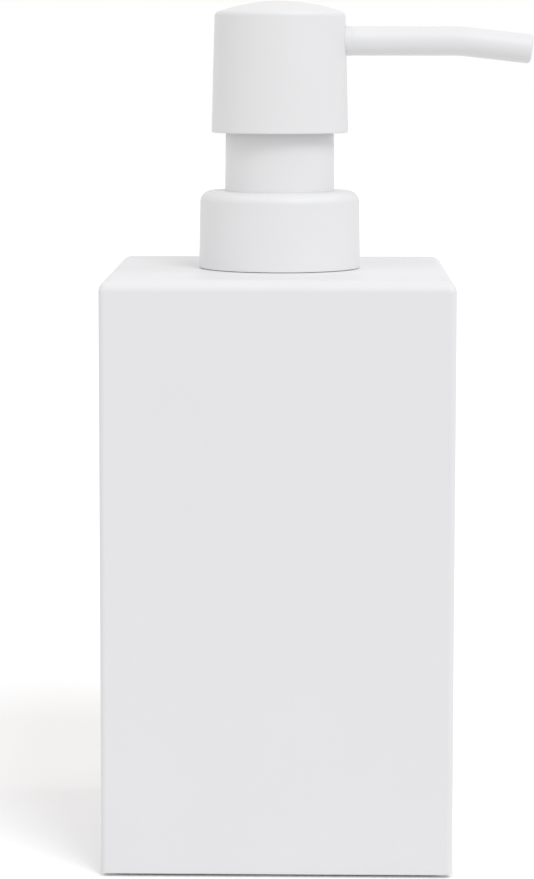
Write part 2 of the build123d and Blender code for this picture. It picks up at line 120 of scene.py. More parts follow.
def share(name, description, default, largest=1.0):
    """A plain number from 0 up."""
    return FloatProperty(
        name=name, description=description, default=default, min=0, max=largest,
        precision=3, subtype="FACTOR",
    )


def count(name, description, default):
    """A whole number of facets, steps or turns."""
    return IntProperty(name=name, description=description, default=default, min=3)


def colour(name, description, red, green, blue):
    """A linear colour property."""
    return FloatVectorProperty(
        name=name, description=description, default=(red, green, blue),
        min=0, max=1, size=3, subtype="COLOR",
    )


class BottleSizes(bpy.types.PropertyGroup):
    """Sizes of the bottle and its foot pad."""

    wall: length("Wall", "Thickness of the upright walls", 4.0)
    top_wall: length("Top wall", "Thickness of the wall under the pump", 6.0)
    ledge: length("Ledge", "How far the closing plate laps under the walls", 1.5)
    plate: length("Plate recess", "Depth of the recess for the closing plate", 3.5)
    top_round: length("Top round", "Radius of the edges round the top", 2.5)
    side_round: length("Side round", "Radius of the upright edges", 1.2)
    foot_round: length("Foot round", "Radius of the lower edges", 0.3)
    inner_round: length("Inner round", "Radius of the soap space's corners", 3.0)
    neck_bore: length("Neck bore", "Radius of the hole for the neck insert", 13.95)
    flange_bore: length("Flange recess", "Radius of the recess for its flange", 15.65)
    flange_depth: length("Flange depth", "Depth of that recess", 1.4)
    pad_round: length("Pad corners", "Radius of the foot pad's corners", 3.0)
    pad_edge: length("Pad edge", "Softening of the foot pad's edges", 0.12)
    edge_steps: count("Edge steps", "Facets across the outer edges", 10)
    corner_steps: count("Corner steps", "Facets across the other corners", 8)
    soft_steps: count("Soft steps", "Facets across a softened edge", 3)


class PumpSizes(bpy.types.PropertyGroup):
    """Sizes of the collar, the sleeve, the head and the return spring."""

    facets: count("Facets", "Flat sides round a turned piece", 192)
    collar_gap: length("Collar gap", "Gap left between the collar and the bottle", 0.12)
    collar_taper: length("Collar taper", "Foot to top, on the radius", 0.3)
    collar_wall: length("Collar wall", "Thickness of its side", 1.55)
    collar_top_wall: length("Collar top wall", "Thickness of its top", 1.4)
    collar_round: length("Collar round", "Radius of its top edge", 2.2)
    sleeve_gap: length("Sleeve gap", "Collar's opening to the sleeve", 0.07)
    sleeve_wall: length("Sleeve wall", "Thickness of the sleeve", 1.2)
    sleeve_draft: angle("Sleeve draft", "How much the sleeve tapers upwards", 0.85)
    sleeve_ledge: length("Sleeve ledge", "Thickness of its inner ledge", 0.8)
    guide_height: length("Guide height", "Stem guide above the disc that the ledge sits on", 2.0)
    sleeve_lap: length("Ledge lap", "How far that ledge reaches inwards", 1.6)
    sleeve_round: length("Sleeve round", "Radius of its upper lip", 0.4)
    head_wall: length("Head wall", "Thickness of the cup", 1.3)
    head_taper: length("Head taper", "Rim to dome, on the radius", 0.65)
    dome_rise: length("Dome rise", "Height of the dome", 2.45)
    dome_round: length("Dome edge", "Radius where the side meets the dome", 1.2)
    rim_round: length("Rim round", "Radius of the cup's lower edge", 0.3)
    pin_bore: length("Pin bore", "Radius of the socket under the dome", 2.95)
    boss_wall: length("Boss wall", "Thickness of that socket", 1.2)
    boss_foot: length("Boss foot", "Socket's foot above the spout's axis", 4.25)
    break_edge: length("Broken edges", "Small softening of the other edges", 0.12)
    wire: length("Spring wire", "Thickness of the return spring's wire", 0.9)
    wire_turns: count("Spring turns", "Turns of the return spring", 8)
    wire_gap: length("Closed turns", "Gap in the turn at each end of the spring", 0.04)
    wire_facets: count("Wire facets", "Flat sides round the spring's wire", 16)
    coil_steps: count("Coil steps", "Straight lengths in a turn of the spring", 36)
    collar_steps: count("Collar steps", "Facets across the collar's top edge", 12)
    lip_steps: count("Lip steps", "Facets across the sleeve's lip and the cup's rim", 6)
    break_steps: count("Broken steps", "Facets across a broken edge", 3)
    dome_steps: count("Dome steps", "Facets from the dome's middle to its edge", 28)
    shoulder_steps: count("Shoulder steps", "Facets across the dome's edge", 8)
    ceiling_steps: count("Ceiling steps", "Facets of the cup's ceiling", 16)
    socket_steps: count("Socket steps", "Facets of the socket's ceiling", 6)


class SpoutSizes(bpy.types.PropertyGroup):
    """Sizes of the spout and the ring at its root."""

    facets: count("Facets", "Flat sides round the spout", 96)
    radius: length("Radius", "Outside of the spout", 3.07)
    bore: length("Bore", "Inside of the spout", 2.0)
    root_radius: length("Root radius", "Thinner root inside the head", 2.6)
    bend_at: length("Bend", "Where the bend lies, from the pump's axis", 38.15)
    bend_radius: length("Bend radius", "Radius of the bend", 20.0)
    droop: angle("Droop", "How far the end hangs below level", 6.4)
    reach: length("Reach", "Pump's axis to the middle of the mouth", 53.05)
    mouth_round: length("Mouth round", "Radius of the mouth's outer edge", 0.7)
    lip_round: length("Lip round", "Radius of the mouth's inner edge", 0.25)
    fit: length("Fit", "Clearance round the root and the ring", 0.05)
    ring_round: length("Ring round", "Radius of the ring's edges", 0.08)
    bend_steps: count("Bend steps", "Facets along the bend", 12)
    mouth_steps: count("Mouth steps", "Facets across the mouth's outer edge", 8)
    lip_steps: count("Lip steps", "Facets across the mouth's inner edge", 5)
    ring_steps: count("Ring steps", "Facets across the ring's edges", 4)


class Finishes(bpy.types.PropertyGroup):
    """Colours and gloss of the parts."""

    lacquer: colour("Lacquer", "White lacquer on the bottle", 0.83, 0.83, 0.845)
    lacquer_roughness: share("Lacquer roughness", "Blur of the lacquer's gloss", 0.42)
    plastic: colour("White plastic", "Moulded shells of the pump", 0.83, 0.83, 0.84)
    plastic_roughness: share("Plastic roughness", "Blur of the plastic's gloss", 0.45)
    insert: colour("Insert plastic", "Neck, closure and other fittings", 0.78, 0.78, 0.78)
    natural: colour("Natural plastic", "Uncoloured plastic of the pump", 0.70, 0.71, 0.69)
    tube: colour("Tube", "Milky dip tube", 0.74, 0.76, 0.76)
    seal: colour("Seal", "Soft seal on the stem", 0.66, 0.68, 0.70)
    gasket: colour("Gasket", "Pale rubber gasket", 0.55, 0.55, 0.53)
    resin: colour("Resin", "Sawn closing plate", 0.68, 0.68, 0.66)
    # The foot pad is real rubber, but its dark tone is partly painted shade: it was set so that the gap under the
    # bottle reads as dark as a contact shadow.
    rubber: colour("Rubber", "Dark foot pad", 0.28, 0.27, 0.26)
    steel: colour("Steel", "Spring and ball", 0.62, 0.62, 0.63)


class StageSettings(bpy.types.PropertyGroup):
    """Floor, camera, and light from all round."""

    camera_right: length("Camera right", "Camera's place along X", 7.19)
    camera_back: length("Camera back", "Camera's distance in front", 605.8)
    camera_height: length("Camera height", "Camera above the floor", 167.43)
    camera_turn: angle("Camera turn", "Turn to the left", 0.93)
    camera_tilt: angle("Camera tilt", "Tilt below level", 6.505)
    camera_roll: angle("Camera roll", "Roll to the left", 0.08)
    camera_drop: share("Camera drop", "Lens shifted down, as a share of the frame", 0.0661)
    lens: FloatProperty(name="Lens", description="Focal length in millimetres", default=116.82)
    floor_size: length("Floor size", "Side of the floor", 8000)
    floor: colour("Floor", "Colour of the floor", 0.80, 0.80, 0.80)
    floor_roughness: share("Floor roughness", "Blur of the floor's gloss", 0.9)
    floor_lift: share("Floor lift", "Light that the camera sees added to the floor", 0.10)
    air: colour("Air", "Light from all round", 1.0, 0.979, 0.97)
    air_strength: share("Air strength", "How strong it is", 0.656, 4.0)


GROUPS = {
    "bottle": BottleSizes,
    "pump": PumpSizes,
    "spout": SpoutSizes,
    "finishes": Finishes,
    "stage": StageSettings,
}


def sizes(group):
    """The scene's values of one property group."""
    return getattr(bpy.context.scene, "dispenser_" + group)


# ---- Modelling moves ---------------------------------------------------------

NEAR = 0.002 * MM  # two places this close are the same place
SMOOTH_BELOW = radians(35)  # faces that meet at less are shaded as one


def start(add, **options):
    """Adds a primitive with nothing else selected, and opens it for shaping."""
    bpy.ops.object.select_all(action="DESELECT")
    add(**options)
    bpy.ops.object.transform_apply(location=True, rotation=True, scale=True)
    bpy.ops.object.mode_set(mode="EDIT")
    bpy.ops.mesh.select_mode(type="VERT")
    bpy.ops.mesh.select_all(action="SELECT")


def choose(test):
    """Selects the edges of the open piece that pass the test."""
    bpy.ops.mesh.select_mode(type="EDGE")
    bpy.ops.mesh.select_all(action="DESELECT")
    mesh = bmesh.from_edit_mesh(bpy.context.object.data)
    for edge in mesh.edges:
        if test(edge):
            edge.select_set(True)
    bmesh.update_edit_mesh(bpy.context.object.data)


def round_edges(test, radius, segments):
    """Rounds the edges that pass the test."""
    choose(test)
    bpy.ops.mesh.bevel(offset=radius, segments=segments, profile=0.5, affect="EDGES")


def ring_at(radius, height):
    """Test for the edges of a turned piece at this radius and height."""
    def on_ring(edge):
        return all(
            abs(hypot(v.co.x, v.co.y) - radius) < NEAR and abs(v.co.z - height) < NEAR
            for v in edge.verts
        )
    return on_ring


def upright(edge):
    """Test for the edges that stand upright."""
    first, second = (v.co for v in edge.verts)
    return (first.xy - second.xy).length < NEAR


def close_seams():
    """Merges what lies in one place, and turns all faces outwards."""
    bpy.ops.mesh.select_all(action="SELECT")
    bpy.ops.mesh.remove_doubles(threshold=NEAR)
    bpy.ops.mesh.normals_make_consistent(inside=False)


def box_between(low, high):
    """Opens a box that fills the space between two corners."""
    start(bpy.ops.mesh.primitive_cube_add, size=1)
    bpy.ops.transform.resize(value=high - low)
    bpy.ops.transform.translate(value=(low + high) / 2)


def cut(piece, cutter):
    """Cuts the cutter's shape out of the piece."""
    bpy.ops.object.select_all(action="DESELECT")
    bpy.context.view_layer.objects.active = piece
    bpy.ops.object.modifier_add(type="BOOLEAN")
    hole = piece.modifiers[-1]
    hole.operation = "DIFFERENCE"
    hole.object = cutter
    bpy.ops.object.modifier_apply(modifier=hole.name)
    bpy.data.objects.remove(cutter)
    bpy.ops.object.mode_set(mode="EDIT")
    bpy.ops.mesh.select_all(action="SELECT")
    bpy.ops.mesh.dissolve_degenerate(threshold=NEAR)
    bpy.ops.object.mode_set(mode="OBJECT")


def drill(piece, radius, first, second, facets):
    """Drills a round hole through the piece from one point to another."""
    along = second - first
    bpy.ops.object.select_all(action="DESELECT")
    bpy.ops.mesh.primitive_cylinder_add(
        vertices=facets, radius=radius, depth=along.length, location=(first + second) / 2,
        rotation=along.to_track_quat("Z", "Y").to_euler(),
    )
    cut(piece, bpy.context.object)


def close_piece():
    """Closes the open piece and returns it."""
    bpy.ops.object.mode_set(mode="OBJECT")
    return bpy.context.object


def seat(piece, name, body, slot, *nodes):
    """Names a shaped piece, smooths it, finishes it and puts it in its parts' place."""
    piece.name = piece.data.name = name
    bpy.ops.object.select_all(action="DESELECT")
    bpy.context.view_layer.objects.active = piece
    piece.select_set(True)
    bpy.ops.object.shade_smooth_by_angle(angle=SMOOTH_BELOW)
    bpy.ops.object.modifier_add(type="WEIGHTED_NORMAL")
    piece.modifiers[-1].keep_sharp = True
    bpy.ops.object.modifier_apply(modifier=piece.modifiers[-1].name)
    piece.data.materials.append(finish(slot))
    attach(piece, body)
    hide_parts(*nodes)


class Outline:
    """Half of a turned piece's section, walked from point to point and then spun."""

    def __init__(self, radius, height):
        start(bpy.ops.mesh.primitive_plane_add, size=MM)
        bpy.ops.mesh.merge(type="CENTER")
        self.place = Vector((radius, 0, height))
        bpy.ops.transform.translate(value=self.place)

    def to(self, radius, height):
        """Draws a straight side to this radius and height."""
        step = Vector((radius, 0, height)) - self.place
        bpy.ops.mesh.extrude_vertices_move(TRANSFORM_OT_translate={"value": step})
        self.place += step

    def arc(self, radius, height, turn, steps):
        """Draws an arc about a point, outwards over the top where turn is positive."""
        pivot = Vector((radius, 0, height))
        bpy.ops.mesh.spin(steps=steps, angle=-turn, center=pivot, axis=(0, 1, 0))
        self.place = pivot + Matrix.Rotation(turn, 3, "Y") @ (self.place - pivot)

    def spin(self, facets):
        """Spins the whole outline round the pump's axis."""
        bpy.ops.mesh.select_all(action="SELECT")
        bpy.ops.mesh.spin(steps=facets, angle=tau, center=(0, 0, 0), axis=(0, 0, 1))
        close_seams()


class Pipe:
    """A round loop walked along a route, leaving the pipe's skin behind it."""

    def __init__(self, place, radius, facets):
        start(
            bpy.ops.mesh.primitive_circle_add,
            vertices=facets, radius=radius, location=place, rotation=(0, pi / 2, 0),
        )
        self.place, self.radius, self.heading = place.copy(), radius, 0.0

    def ahead(self):
        """The direction that the loop faces."""
        return Vector((cos(self.heading), 0, -sin(self.heading)))

    def run(self, distance):
        """Draws a straight run, backwards where the distance is negative."""
        step = self.ahead() * distance
        bpy.ops.mesh.extrude_region_move(TRANSFORM_OT_translate={"value": step})
        self.place += step

    def resize(self, radius):
        """Draws a flat step in or out to another radius."""
        bpy.ops.mesh.extrude_region_move(TRANSFORM_OT_translate={"value": (0, 0, 0)})
        bpy.ops.transform.resize(
            value=(radius / self.radius,) * 3, center_override=self.place
        )
        self.radius = radius

    def bend(self, turn, radius, steps):
        """Draws a bend that droops by turn, or goes back through it if negative."""
        centre = self.place - radius * Vector((sin(self.heading), 0, cos(self.heading)))
        bpy.ops.mesh.spin(steps=steps, angle=-turn, center=centre, axis=(0, 1, 0))
        self.place = centre + Matrix.Rotation(turn, 3, "Y") @ (self.place - centre)
        self.heading += turn


# ---- Finishes ----------------------------------------------------------------

# Sockets of a Mix node that mixes colours, which share their names with its others.
MIX_AMOUNT, MIX_FIRST, MIX_SECOND = 0, 6, 7
MIXED_COLOUR = 2


class Signal:
    """An output socket that takes part in sums, each of which adds a Math node."""

    def __init__(self, nodes, socket):
        self.nodes, self.socket = nodes, socket

    def other(self, output):
        """Another output of the same node."""
        return Signal(self.nodes, self.socket.node.outputs[output])

    def math(self, operation, first, second):
        """The result of a Math node."""
        return self.nodes.add("ShaderNodeMath", {"operation": operation}, {0: first, 1: second})

    def __add__(self, other):
        return self.math("ADD", self, other)

    def __mul__(self, other):
        return self.math("MULTIPLY", self, other)

    def largest(self, other):
        """The greater of two signals."""
        return self.math("MAXIMUM", self, other)

    __radd__, __rmul__ = __add__, __mul__


class Nodes:
    """The node tree of a material or of the air, built up by calls."""

    def __init__(self, owner):
        owner.use_nodes = True
        self.owner, self.tree = owner, owner.node_tree
        self.tree.nodes.clear()

    def add(self, kind, settings=None, inputs=None):
        """Adds a node, sets it up, feeds its sockets, and gives its first output."""
        made = self.tree.nodes.new(kind)
        for key, value in (settings or {}).items():
            setattr(made, key, value)
        for key, value in (inputs or {}).items():
            if isinstance(value, Signal):
                self.tree.links.new(value.socket, made.inputs[key])
            else:
                made.inputs[key].default_value = value
        return Signal(self, made.outputs[0]) if made.outputs else None

    def seen(self):
        """1 for what the camera, a reflection or a clear part shows, and 0 for lighting."""
        rays = self.add("ShaderNodeLightPath")
        mirrored = rays.other("Is Glossy Ray").largest(rays.other("Is Transmission Ray"))
        return rays.other("Is Camera Ray").largest(mirrored)


class Finish(Nodes):
    """The nodes of one of the object's materials."""

    def __init__(self):
        super().__init__(bpy.data.materials.new("finish"))
        self.place = self.add("ShaderNodeTexCoord").other("Object")

    def noise(self, grain, detail=2.0, stretch=(1, 1, 1)):
        """Noise from 0 to 1, whose blots are about a grain across."""
        place = self.add("ShaderNodeMapping", None, {"Vector": self.place, "Scale": stretch})
        return self.add(
            "ShaderNodeTexNoise", None, {"Vector": place, "Scale": 1 / grain, "Detail": detail}
        )

    def mottle(self, amount, tone, darkest, lightest):
        """The tone times one factor to another, by an amount from 0 to 1."""
        first, second = shade(tone, darkest), shade(tone, lightest)
        mixed = self.add(
            "ShaderNodeMix", {"data_type": "RGBA"},
            {MIX_AMOUNT: amount, MIX_FIRST: (*first, 1), MIX_SECOND: (*second, 1)},
        )
        return mixed.other(MIXED_COLOUR)

    def relief(self, height, depth):
        """A bump of this depth, from a height of 0 to 1."""
        return self.add("ShaderNodeBump", None, {"Distance": depth, "Height": height})

    @staticmethod
    def around(middle, spread, signal):
        """A value that a signal from 0 to 1 moves by the spread to either side."""
        return middle - spread + 2 * spread * signal

    def surface(self, **sockets):
        """Ends the material in a Principled surface."""
        sockets = {name.replace("_", " "): value for name, value in sockets.items()}
        skin = self.add("ShaderNodeBsdfPrincipled", None, sockets)
        self.add("ShaderNodeOutputMaterial", None, {"Surface": skin})
        return self.owner


def shade(tone, factor):
    """A colour made a little lighter or darker."""
    return tuple(min(1.0, channel * factor) for channel in tone)


def lacquer(tone, roughness):
    """Sprayed satin lacquer: faint clouds in the white, and a fine orange peel."""
    skin = Finish()
    clouds = skin.noise(22 * MM, detail=3)
    peel = skin.noise(1.3 * MM, detail=1)
    return skin.surface(
        Base_Color=skin.mottle(clouds, tone, 0.985, 1.015),
        Roughness=skin.around(roughness, 0.03, skin.noise(9 * MM)),
        Normal=skin.relief(peel, 0.006 * MM),
        Specular_IOR_Level=0.4,
    )


def moulded(tone, roughness, grain=0.35 * MM, depth=0.004 * MM):
    """Moulded plastic: the mould's fine grain, and slight clouds in the colour."""
    skin = Finish()
    clouds = skin.noise(14 * MM, detail=3)
    return skin.surface(
        Base_Color=skin.mottle(clouds, tone, 0.985, 1.01),
        Roughness=skin.around(roughness, 0.04, skin.noise(3 * MM)),
        Normal=skin.relief(skin.noise(grain, detail=2), depth),
    )


def milky(tone, roughness):
    """Natural plastic that light soaks into, with faint flow lines down its length."""
    skin = Finish()
    flow = skin.noise(1.2 * MM, detail=2, stretch=(1, 1, 0.12))
    return skin.surface(
        Base_Color=skin.mottle(flow, tone, 0.95, 1.05),
        Roughness=skin.around(roughness, 0.05, skin.noise(2 * MM)),
        Normal=skin.relief(flow, 0.01 * MM),
        Subsurface_Weight=0.35, Subsurface_Radius=(1.0, 0.95, 0.9), Subsurface_Scale=0.6 * MM,
    )


def rubber(tone):
    """Rubber sheet: fine speckle and a dull, pitted face."""
    skin = Finish()
    pits = skin.noise(0.25 * MM, detail=3)
    return skin.surface(
        Base_Color=skin.mottle(skin.noise(0.8 * MM), tone, 0.85, 1.15),
        Roughness=0.75 + 0.15 * pits,
        Normal=skin.relief(pits, 0.02 * MM),
    )


def sawn_resin(tone):
    """Cast resin, sawn flat: faint parallel saw marks and cloudy filler."""
    skin = Finish()
    marks = skin.add(
        "ShaderNodeTexWave", {"bands_direction": "X"},
        {"Vector": skin.place, "Scale": 0.3 / MM, "Distortion": 1.5, "Detail": 2.0},
    ).other("Fac")
    return skin.surface(
        Base_Color=skin.mottle(skin.noise(6 * MM, detail=4), tone, 0.94, 1.04),
        Roughness=0.6 + 0.1 * marks,
        Normal=skin.relief(marks, 0.015 * MM),
    )


def steel(tone, roughness, grain, stretch=(1, 1, 1)):
    """Bright steel with fine drawing or polishing lines."""
    skin = Finish()
    lines = skin.noise(grain, detail=3, stretch=stretch)
    return skin.surface(
        Base_Color=skin.mottle(lines, tone, 0.93, 1.07),
        Roughness=skin.around(roughness, 0.03, lines),
        Normal=skin.relief(lines, 0.003 * MM),
        Metallic=1.0,
    )


# The finish of each of the record's slots: its name, and how it is made.
FINISHES = {
    "bottle_lacquer": ("Satin lacquer", lambda f: lacquer(f.lacquer, f.lacquer_roughness)),
    "pump_white": ("White moulding", lambda f: moulded(f.plastic, f.plastic_roughness)),
    "insert_plastic": (
        "Plain moulding", lambda f: moulded(f.insert, 0.5, grain=0.5 * MM, depth=0.008 * MM),
    ),
    "natural_plastic": ("Natural plastic", lambda f: milky(f.natural, 0.42)),
    "tube_plastic": ("Milky tube", lambda f: milky(f.tube, 0.3)),
    "seal_plastic": ("Soft seal", lambda f: moulded(f.seal, 0.4, grain=0.6 * MM)),
    "gasket_rubber": ("Pale rubber", lambda f: rubber(f.gasket)),
    # Real rubber, whose dark tone is also painted shade in the gap under the bottle.
    "pad_rubber": ("Dark rubber with painted shade", lambda f: rubber(f.rubber)),
    "plate_resin": ("Sawn resin", lambda f: sawn_resin(f.resin)),
    "spring_steel": ("Drawn steel", lambda f: steel(f.steel, 0.26, grain=0.2 * MM, stretch=(1, 1, 0.4))),
    "ball_steel": ("Polished steel", lambda f: steel(f.steel, 0.12, grain=0.4 * MM)),
}


def finish(slot):
    """The finish of a slot, made the first time that it is asked for."""
    name, make = FINISHES[slot]
    if name not in bpy.data.materials:
        make(sizes("finishes")).name = name
    return bpy.data.materials[name]


# ---- The pieces --------------------------------------------------------------


class DISPENSER_OT_bottle(bpy.types.Operator):
    """Model the bottle: a rounded box, hollow, recessed underneath and bored for the neck."""

    bl_idname = "dispenser.bottle"
    bl_label = "Bottle"

    def execute(self, context):
        s = sizes("bottle")
        low, high = BOTTLE_LOW, BOTTLE_HIGH
        box_between(low, high)
        for test, radius in (
            (upright, s.side_round),
            (lambda e: all(v.co.z > high.z - NEAR for v in e.verts), s.top_round),
            (lambda e: all(v.co.z < low.z + NEAR for v in e.verts), s.foot_round),
        ):
            choose(test)
            bpy.ops.transform.edge_bevelweight(value=radius / s.top_round)
        bottle = close_piece()
        bpy.ops.object.modifier_add(type="BEVEL")
        bevel = bottle.modifiers[-1]
        bevel.limit_method, bevel.width, bevel.segments = "WEIGHT", s.top_round, s.edge_steps
        bpy.ops.object.modifier_apply(modifier=bevel.name)

        below = low.z - s.plate
        for inset, top in ((s.wall - s.ledge, low.z + s.plate), (s.wall, high.z - s.top_wall)):
            edge = Vector((inset, inset, 0))
            box_between(
                Vector((low.x, low.y, below)) + edge, Vector((high.x, high.y, top)) - edge
            )
            round_edges(upright, s.inner_round, s.corner_steps)
            cut(bottle, close_piece())
        top, facets = Vector((0, 0, high.z)), sizes("pump").facets
        inside, above = top * 0.5, top * 1.1
        drill(bottle, s.neck_bore, inside, above, facets)
        drill(bottle, s.flange_bore, top - Vector((0, 0, s.flange_depth)), above, facets)
        seat(bottle, "bottle_box", "bottle", "bottle_lacquer", "bottle_body")
        return {"FINISHED"}


class DISPENSER_OT_foot_pad(bpy.types.Operator):
    """Model the rubber pad under the bottle, with softened edges."""

    bl_idname = "dispenser.foot_pad"
    bl_label = "Foot pad"

    def execute(self, context):
        s = sizes("bottle")
        box_between(PAD_LOW, PAD_HIGH)
        round_edges(upright, s.pad_round, s.corner_steps)
        round_edges(lambda e: not upright(e), s.pad_edge, s.soft_steps)
        seat(close_piece(), "foot_pad", "bottle", "pad_rubber", "base_pad")
        return {"FINISHED"}


class DISPENSER_OT_collar(bpy.types.Operator):
    """Turn the collar: a tapered skirt with a rounded top edge."""

    bl_idname = "dispenser.collar"
    bl_label = "Collar"

    def execute(self, context):
        s = sizes("pump")
        foot, top = BOTTLE_HIGH.z + s.collar_gap, COLLAR_HIGH.z
        foot_r, top_r = COLLAR_HIGH.x, COLLAR_HIGH.x - s.collar_taper
        bore, opening = foot_r - s.collar_wall, SLEEVE_HIGH.x + s.sleeve_gap
        under = top - s.collar_top_wall
        line = Outline(bore, foot)
        for radius, height in (
            (foot_r, foot), (top_r, top), (opening, top), (opening, under), (bore, under),
            (bore, foot),
        ):
            line.to(radius, height)
        line.spin(s.facets)
        round_edges(ring_at(top_r, top), s.collar_round, s.collar_steps)
        round_edges(ring_at(foot_r, foot), s.break_edge, s.break_steps)
        round_edges(ring_at(opening, top), s.break_edge, s.break_steps)
        seat(close_piece(), "collar", "closure", "pump_white", "collar_shell")
        return {"FINISHED"}


class DISPENSER_OT_sleeve(bpy.types.Operator):
    """Turn the smooth sleeve between the collar and the head."""

    bl_idname = "dispenser.sleeve"
    bl_label = "Neck sleeve"

    def execute(self, context):
        s = sizes("pump")
        foot, top, collar_top = SLEEVE_LOW.z, SLEEVE_HIGH.z, COLLAR_HIGH.z
        foot_r = SLEEVE_HIGH.x
        top_r = foot_r - (top - collar_top) * tan(s.sleeve_draft)
        bore = foot_r - s.sleeve_wall
        rest = CHAPLET_HIGH.z - s.guide_height
        inner, ledge = top_r - s.sleeve_wall, bore - s.sleeve_lap
        line = Outline(bore, foot)
        for radius, height in (
            (foot_r, foot), (foot_r, collar_top), (top_r, top), (inner, top),
            (inner, rest + s.sleeve_ledge), (ledge, rest + s.sleeve_ledge), (ledge, rest),
            (bore, rest), (bore, foot),
        ):
            line.to(radius, height)
        line.spin(s.facets)
        for lip in (top_r, inner):
            round_edges(ring_at(lip, top), s.sleeve_round, s.lip_steps)
        seat(close_piece(), "sleeve", "pump_base", "pump_white", "neck_sleeve")
        return {"FINISHED"}


class DISPENSER_OT_head(bpy.types.Operator):
    """Turn the head: a cup with a low dome, bored in its side for the spout."""

    bl_idname = "dispenser.head"
    bl_label = "Head"

    def execute(self, context):
        s, spout = sizes("pump"), sizes("spout")
        rim, apex, rim_r = HEAD_LOW.z, HEAD_HIGH.z, HEAD_HIGH.y
        top_r, shoulder = rim_r - s.head_taper, apex - s.dome_rise
        dome_r = (top_r**2 + s.dome_rise**2) / (2 * s.dome_rise)
        centre = apex - dome_r
        inner_r, inner_top_r = dome_r - s.head_wall, top_r - s.head_wall
        boss_r = s.pin_bore + s.boss_wall

        # The rounding's middle lies its radius inside both the dome and the side.
        lean = atan2(s.head_taper, shoulder - rim)
        out = top_r * cos(lean) + (shoulder - centre) * sin(lean) - s.dome_round
        up = sqrt((dome_r - s.dome_round) ** 2 - out**2)
        round_x, round_z = out * cos(lean) - up * sin(lean), out * sin(lean) + up * cos(lean)
        dome_turn = atan2(round_x, round_z)

        def ceiling(radius):
            return centre + sqrt(inner_r**2 - radius**2)

        line = Outline(0, apex)
        line.arc(0, centre, dome_turn, s.dome_steps)
        line.arc(round_x, centre + round_z, pi / 2 - lean - dome_turn, s.shoulder_steps)
        line.to(rim_r, rim)
        line.to(rim_r - s.head_wall, rim)
        line.to(inner_top_r, ceiling(inner_top_r))
        across = asin(boss_r / inner_r) - asin(inner_top_r / inner_r)
        line.arc(0, centre, across, s.ceiling_steps)
        line.to(boss_r, SPOUT_Z + s.boss_foot)
        line.to(s.pin_bore, SPOUT_Z + s.boss_foot)
        line.to(s.pin_bore, ceiling(s.pin_bore))
        line.arc(0, centre, -asin(s.pin_bore / inner_r), s.socket_steps)
        line.spin(s.facets)
        round_edges(ring_at(rim_r, rim), s.rim_round, s.lip_steps)
        round_edges(ring_at(rim_r - s.head_wall, rim), s.break_edge, s.break_steps)
        head = close_piece()

        root = Vector((RING_LOW.x, 0, SPOUT_Z))
        inside = root * Vector((0.8, 1, 1))
        outside = Vector((rim_r * 1.2, 0, SPOUT_Z))
        drill(head, RING_R + spout.fit, root, outside, spout.facets)
        drill(head, spout.root_radius + spout.fit, inside, outside, spout.facets)
        seat(head, "head_cup", "head", "pump_white", "head_shell")
        return {"FINISHED"}


class DISPENSER_OT_spout(bpy.types.Operator):
    """Draw the spout as a bent pipe with a round mouth, and the ring at its root."""

    bl_idname = "dispenser.spout"
    bl_label = "Spout"

    def execute(self, context):
        s = sizes("spout")
        shoulder = RING_HIGH.x
        half_bend = s.bend_radius * tan(s.droop / 2)
        level_run = s.bend_at - half_bend - shoulder
        end_run = (s.reach - s.bend_at) / cos(s.droop) - half_bend

        pipe = Pipe(Vector((SPOUT_LOW.x, 0, SPOUT_Z)), s.root_radius, s.facets)
        pipe.run(shoulder - SPOUT_LOW.x)
        pipe.resize(s.radius)
        pipe.run(level_run)
        pipe.bend(s.droop, s.bend_radius, s.bend_steps)
        pipe.run(end_run)
        mouth, facing = pipe.place.copy(), pipe.ahead()
        pipe.resize(s.bore)
        pipe.run(-end_run)
        pipe.bend(-s.droop, s.bend_radius, s.bend_steps)
        pipe.run(-level_run - shoulder + SPOUT_LOW.x)
        pipe.resize(s.root_radius)
        close_seams()

        def at_mouth(radius):
            return lambda edge: all(
                abs((v.co - mouth).dot(facing)) < NEAR
                and abs((v.co - mouth).length - radius) < NEAR
                for v in edge.verts
            )

        round_edges(at_mouth(s.radius), s.mouth_round, s.mouth_steps)
        round_edges(at_mouth(s.bore), s.lip_round, s.lip_steps)
        seat(close_piece(), "spout_pipe", "head", "pump_white", "spout_tube")

        pipe = Pipe(Vector((RING_LOW.x, 0, SPOUT_Z)), RING_R, s.facets)
        pipe.run(RING_HIGH.x - RING_LOW.x)
        pipe.resize(s.root_radius + s.fit)
        pipe.run(RING_LOW.x - RING_HIGH.x)
        pipe.resize(RING_R)
        close_seams()

        def on_rim(edge):
            first, second = (v.co for v in edge.verts)
            level = abs(first.x - second.x) < NEAR
            return level and all(
                abs(hypot(co.y, co.z - SPOUT_Z) - RING_R) < NEAR for co in (first, second)
            )

        round_edges(on_rim, s.ring_round, s.ring_steps)
        seat(close_piece(), "root_ring", "head", "pump_white", "spout_ring")
        return {"FINISHED"}


# Turns from the spring's end to where it leaves the closed turn, and to its full pitch.
CLOSED_TO, OPEN_FROM = 0.75, 1.25


